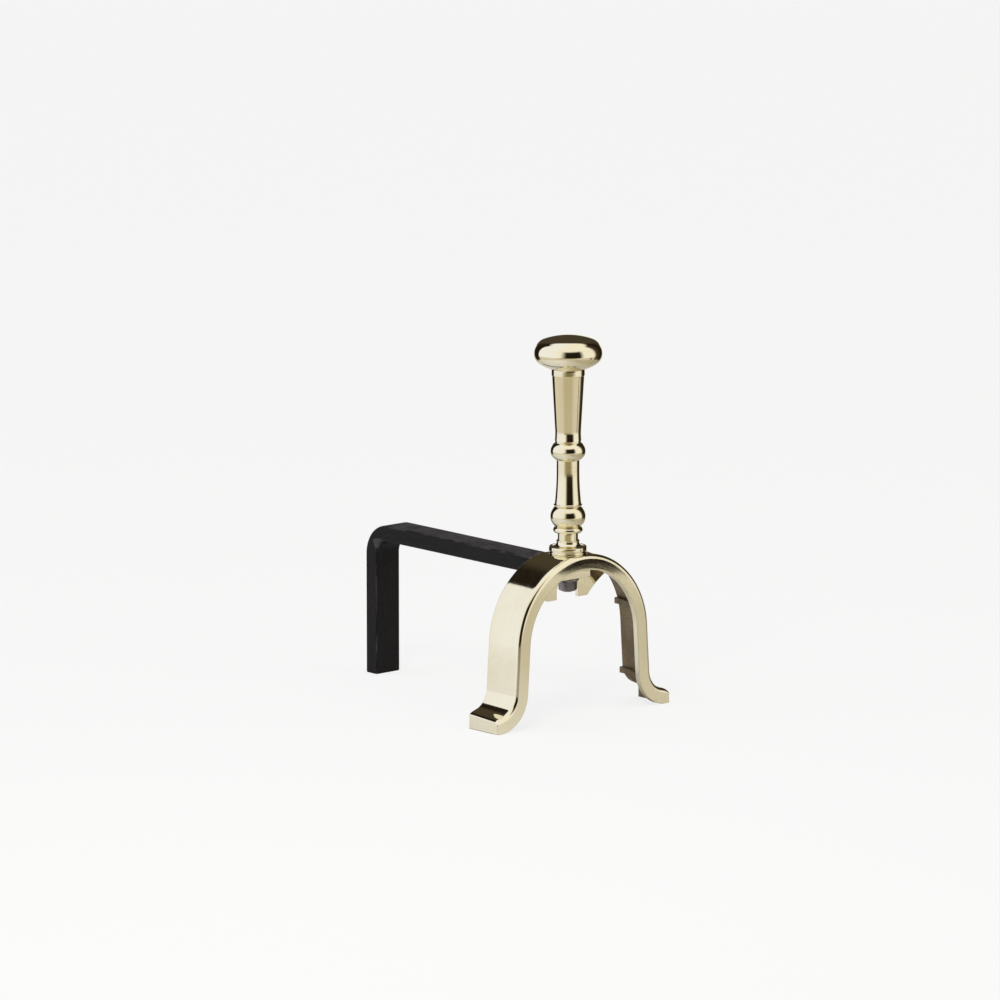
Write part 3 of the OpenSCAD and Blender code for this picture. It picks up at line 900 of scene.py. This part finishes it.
def makeBar(s, materials):
    # The section (x, t) is carried along the bar, round the bend and down the leg
    half, wide = s["thick"] / 2, s["wide"] / 2
    loop = corners([(-wide, -half), (wide, -half), (wide, half), (-wide, half)], s["edge"])
    loop = finer(loop, s["meshStep"])
    runSteps, bendSteps, legSteps = s["steps"]
    bendY, bendZ = s["back"] - s["bend"], s["top"] - s["bend"]
    radius = s["bend"] - half
    # Both ends draw in over a quarter circle
    lean = np.radians([90, 55, 25, 0])
    short = s["endEdge"] * (1 - np.sin(lean))
    inset = s["endEdge"] * (1 - np.cos(lean))
    # A station is the (y, z) of the bar's middle and the (y, z) direction of t
    along = np.concatenate([s["start"] + short, np.linspace(s["start"] + s["endRun"], bendY, runSteps)])
    straight = np.stack([along, 0 * along + s["top"] - half, 0 * along, 0 * along + 1], 1)
    turn = np.linspace(0, np.pi / 2, bendSteps + 2)[1:-1]
    bend = np.stack([bendY + radius * np.sin(turn), bendZ + radius * np.cos(turn),
                     np.sin(turn), np.cos(turn)], 1)
    height = np.concatenate([np.linspace(bendZ, s["endRun"], legSteps), short[::-1]])
    leg = np.stack([0 * height + s["back"] - half, height, 0 * height + 1, 0 * height], 1)
    stations = np.concatenate([straight, bend, leg])
    draw = np.zeros(len(stations))
    draw[:len(inset)] = inset
    draw[-len(inset):] = inset[::-1]
    shrink = 1 - draw[:, None] / np.array([wide, half])
    x = loop[None, :, 0] * shrink[:, :1]
    t = loop[None, :, 1] * shrink[:, 1:]
    y = stations[:, :1] + stations[:, 2:3] * t
    z = stations[:, 1:2] + stations[:, 3:4] * t
    points = np.stack([x, y, z], -1)
    makePiece("billetBar", points, cappedFaces(*x.shape), materials, "billet_bar")


castFace = polishedBrass("castBrassFace", brassLook, (700, 700, 14), strap)
castBack = asCastBrass(castLook)
turnedFace = polishedBrass("turnedBrass", brassLook, (4, 4, 1100))
steel = dullSteel(steelLook)
makeStrap(strap, castFace, castBack)
makeLug(lug, strap, bar, castFace)
makeRibs(ribs, strap, castBack)
makeBar(bar, [blackIron(ironLook, bar)])
print("arch and bar built")


rodSet = {
    "radius": 4.0,
    "clearance": 0.15,
    "boreEdge": 0.2,
    "threadFit": 0.05,
    "pitch": 1.25,
    "deep": 0.45,
    "threadStep": 0.12,
    "tip": 0.01,               # radius at which both ends close
    "past": 1.0,               # below the nut
    "inKnob": 11.0,
    "washerRadius": 8.7,
    "washerThick": 2.4,
    "washerEdges": (0.5, 0.3),     # below and above
    "nutFlats": 13.0,
    "nutHeight": 8.0,
    "nutMouth": 0.1,
    "nutFace": 1.5,            # how far the cone cuts into the corners at the nut's ends
    "nutCone": 1.7,            # how fast it lets go of them
    "nutLevels": (0, 0.15, 0.5, 0.9, 1.3),
    "around": 144,
    "meshStep": 0.8,
}


turnedStep = 0.9     # mm between the points of a turned outline


def plain(points):
    # Points of an arc, as corners that need no rounding
    return np.column_stack([points, np.zeros(len(points))])


def bored(z, height, outside):
    # Closes an outside profile with the rod's bore
    bore, edge = rodSet["radius"] + rodSet["clearance"], rodSet["boreEdge"]
    ends = np.array([[bore, z + height, edge], [bore, z, edge]])
    return finer(roundedLoop(np.concatenate([outside, ends]), 5), turnedStep)


base = {
    "height": 16.5,
    "radius": 15.0,
    "rim": 5.7,
    "lip": 1.6,
    "groove": 0.8,
    "grooveDeep": 0.7,
    "neck": 8.1,
    "cove": 4.2,
    "ring": 0.8,
    "footEdge": 0.5,
    "lipEdge": 0.35,
    "grooveEdge": 0.15,
    "rimEdge": 0.6,
    "seam": 0.1,
    "coveEnd": 184,            # degrees, like the ring's span
    "ringSpan": (-70, 120),
}


def makeBase(s, z):
    # A grooved rim, a hollow quarter circle up to a small ring, and the neck
    coveR = s["neck"] + s["ring"] + s["cove"]
    ringZ = z + s["rim"] + s["cove"]
    deep = s["radius"] - s["grooveDeep"]
    lipZ = z + s["lip"]
    grooveZ = lipZ + s["groove"]
    outside = np.concatenate([
        [[s["radius"], z, s["footEdge"]], [s["radius"], lipZ, s["lipEdge"]], [deep, lipZ, s["grooveEdge"]],
         [deep, grooveZ, s["grooveEdge"]], [s["radius"], grooveZ, s["lipEdge"]],
         [s["radius"], z + s["rim"], s["rimEdge"]]],
        plain(arc((coveR, ringZ), s["cove"], 270, s["coveEnd"], 12)),
        plain(arc((s["neck"] + s["ring"] / 2, ringZ), s["ring"], *s["ringSpan"], 9)),
        [[s["neck"], z + s["height"], s["seam"]]],
    ])
    lathe("baseFlange", bored(z, s["height"], outside), [turnedFace], "base_flange")
    return z + s["height"]


bead = {
    "stepHeight": 5.0,
    "stepRadius": 11.9,
    "barrelHeight": 16.4,
    "radius": 14.1,
    "curve": 10.0,
    "filletHeight": 2.0,
    "filletRadius": 11.4,
    "filletRoot": 10.7,
    "rootEdge": 0.1,
    "seam": 0.2,
    "stepEnd": 88,             # degrees, like the fillet's span
    "filletSpan": (-80, 80),
}


def makeLowerBead(s, z):
    # A half-round step, the barrel's arc, and a fine fillet on top
    low = s["stepHeight"] / 2
    lean = math.degrees(math.asin(s["barrelHeight"] / 2 / s["curve"]))
    barrelZ = z + s["stepHeight"] + s["barrelHeight"] / 2
    rootZ = z + s["stepHeight"] + s["barrelHeight"]
    top = rootZ + s["filletHeight"]
    ringR = s["filletHeight"] / 3
    outside = np.concatenate([
        plain(arc((s["stepRadius"] - low, z + low), low, -90, s["stepEnd"], 13)),
        plain(arc((s["radius"] - s["curve"], barrelZ), s["curve"], -lean, lean, 28)),
        [[s["filletRoot"], rootZ, s["rootEdge"]]],
        plain(arc((s["filletRadius"] - ringR, rootZ + s["filletHeight"] / 2), ringR, *s["filletSpan"], 7)),
        [[s["filletRoot"], top, s["seam"]]],
    ])
    lathe("lowerBead", bored(z, top - z, outside), [turnedFace], "lower_bead")
    return top


lowShaft = {
    "height": 33.5,
    "radius": 9.1,
    "flare": 1.5,
    "flareHeight": 26.0,
}


def makeLowerShaft(s, z):
    # The flare is an arc that meets the plain shaft without a corner
    curve = (s["flareHeight"] ** 2 + s["flare"] ** 2) / (2 * s["flare"])
    rise = np.linspace(0, s["flareHeight"], 16)
    radius = s["radius"] + curve - np.sqrt(curve ** 2 - (s["flareHeight"] - rise) ** 2)
    flare = plain(np.stack([radius, z + rise], 1))
    outside = np.concatenate([flare, [[s["radius"], z + s["height"], 0]]])
    lathe("lowerShaft", bored(z, s["height"], outside), [turnedFace], "lower_shaft")
    return z + s["height"]


midBead = {
    "height": 16.8,
    "radius": 14.0,
    "round": 8.0,
    "belowRadius": 9.1,
    "aboveRadius": 10.3,
}


def makeMiddleBead(s, z):
    # One arc, cut where it meets the shafts' radii
    centre = s["radius"] - s["round"]
    below = -math.degrees(math.acos((s["belowRadius"] - centre) / s["round"]))
    above = math.degrees(math.acos((s["aboveRadius"] - centre) / s["round"]))
    outside = np.concatenate([
        [[s["belowRadius"], z, 0]],
        plain(arc((centre, z + s["height"] / 2), s["round"], below, above, 30)),
        [[s["aboveRadius"], z + s["height"], 0]],
    ])
    lathe("middleBead", bored(z, s["height"], outside), [turnedFace], "middle_bead")
    return z + s["height"]


upShaft = {
    "height": 56.6,
    "foot": 10.3,
    "top": 12.9,
    "plain": 7.0,
    "flare": 0.3,
    "collar": 13.3,
    "collarHeight": 4.8,
    "collarEdge": 0.25,
    "seam": 0.2,
}


def makeUpperShaft(s, z):
    # Widens in a straight line from its plain foot to the collar; the foot flares by a square law
    collarZ = z + s["height"] - s["collarHeight"]
    rise = np.linspace(0, s["plain"], 9)
    foot = plain(np.stack([s["foot"] + s["flare"] * (1 - rise / s["plain"]) ** 2, z + rise], 1))
    outside = np.concatenate([foot, [[s["top"], collarZ, s["seam"]], [s["collar"], collarZ, s["collarEdge"]],
                                     [s["collar"], z + s["height"], s["seam"]]]])
    lathe("upperShaft", bored(z, s["height"], outside), [turnedFace], "upper_shaft")
    return z + s["height"]


knob = {
    "radius": 27.3,
    "over": 14.1,
    "overShoulder": 11.5,
    "under": 15.0,
    "underShoulder": 10.0,
    "seat": 12.9,
    "hole": 12.0,
    "around": 192,
}


def makeKnob(s, z):
    # Each half is a flat dome that meets its round shoulder on the line through both centres
    middle = z + s["seat"]
    bore = rodSet["radius"] + rodSet["threadFit"]
    halves = []
    for height, shoulder, way in ((s["under"], s["underShoulder"], -1), (s["over"], s["overShoulder"], 1)):
        shoulderX = s["radius"] - shoulder
        dome = (shoulderX ** 2 + height ** 2 - shoulder ** 2) / (2 * (height - shoulder))
        meet = math.degrees(math.atan2(dome - height, shoulderX))
        domeZ = middle - way * (dome - height)
        # The upper dome ends on the axis, the lower one on the seat
        limit = 90 if way > 0 else math.degrees(math.asin((s["seat"] + dome - height) / dome))
        curve = np.concatenate([arc((shoulderX, middle), shoulder, 0, way * meet, 24),
                                arc((0, domeZ), dome, way * meet, way * limit, 24)[1:]])
        halves.append(curve[::way])
    outside = np.concatenate([halves[0][:-1], halves[1]])
    inside = np.array([[0, z + s["hole"]], [bore, z + s["hole"]], [bore, z]])
    loop = finer(np.concatenate([outside, inside]), turnedStep)
    lathe("finialKnob", loop, [turnedFace], "knob", around=s["around"])


stackZ = strap["crest"] - strap["seatCut"]
stackZ = makeBase(base, stackZ)
stackZ = makeLowerBead(bead, stackZ)
stackZ = makeLowerShaft(lowShaft, stackZ)
stackZ = makeMiddleBead(midBead, stackZ)
stackZ = makeUpperShaft(upShaft, stackZ)
makeKnob(knob, stackZ)
print("column built")


def makeWasher(s, washerZ, materials):
    # A rectangle of (radius, height) with rounded corners
    inside, outside, top = s["radius"] + s["clearance"], s["washerRadius"], washerZ + s["washerThick"]
    below, above = s["washerEdges"]
    loop = roundedLoop([(inside, washerZ, s["boreEdge"]), (outside, washerZ, below),
                        (outside, top, above), (inside, top, s["boreEdge"])], 5)
    lathe("washer", finer(loop, s["meshStep"]), materials, "rod_washer", around=96)


def makeNut(s, nutZ, angle, materials):
    # A cone cuts the nut's corners: each ring keeps to the hexagon or to the cone's radius
    sixth = np.pi / 3
    flat = s["nutFlats"] / 2 / np.cos((angle + sixth / 2) % sixth - sixth / 2)
    rise = np.array(s["nutLevels"])
    cone = s["nutFlats"] / math.sqrt(3) - s["nutFace"] + rise * s["nutCone"]
    ring = np.minimum(flat[None, :], np.concatenate([cone, cone[::-1]])[:, None])
    hole = np.full((1, len(angle)), s["radius"] + s["threadFit"])
    radius = np.concatenate([hole, ring, hole])
    top = nutZ + s["nutHeight"]
    level = np.concatenate([[nutZ + s["nutMouth"]], nutZ + rise, top - rise[::-1], [top - s["nutMouth"]]])
    points = np.stack(np.broadcast_arrays(radius * np.cos(angle), radius * np.sin(angle) + postY,
                                          level[:, None]), -1)
    faces = gridFaces(len(level), len(angle), True).tolist()
    makePiece("nut", points, faces, materials, "rod_nut", sharp=25)


def makeRod(s, low, threadEnd, top, angle, materials):
    # The thread is a groove that climbs one pitch a turn on the rod's lower end
    height = np.concatenate([np.arange(low, threadEnd, s["threadStep"]), np.linspace(threadEnd, top, 40)])
    turns = height[:, None] / s["pitch"] - angle[None, :] / (2 * np.pi)
    groove = np.abs((turns % 1) - 0.5) * 2 * s["deep"] * (height[:, None] < threadEnd)
    radius = s["radius"] - groove
    radius[[0, -1]] = s["tip"]
    points = np.stack(np.broadcast_arrays(radius * np.cos(angle), radius * np.sin(angle) + postY,
                                          height[:, None]), -1)
    makePiece("tieRod", points, cappedFaces(*radius.shape), materials, "tie_rod", sharp=50)


washerZ = bar["top"] - bar["thick"] - rodSet["washerThick"]
nutZ = washerZ - rodSet["nutHeight"]
around = np.linspace(0, 2 * np.pi, rodSet["around"], endpoint=False)
makeWasher(rodSet, washerZ, [steel])
makeNut(rodSet, nutZ, around, [steel])
makeRod(rodSet, nutZ - rodSet["past"], washerZ, stackZ + rodSet["inKnob"], around[::2], [steel])
print("rod set built")
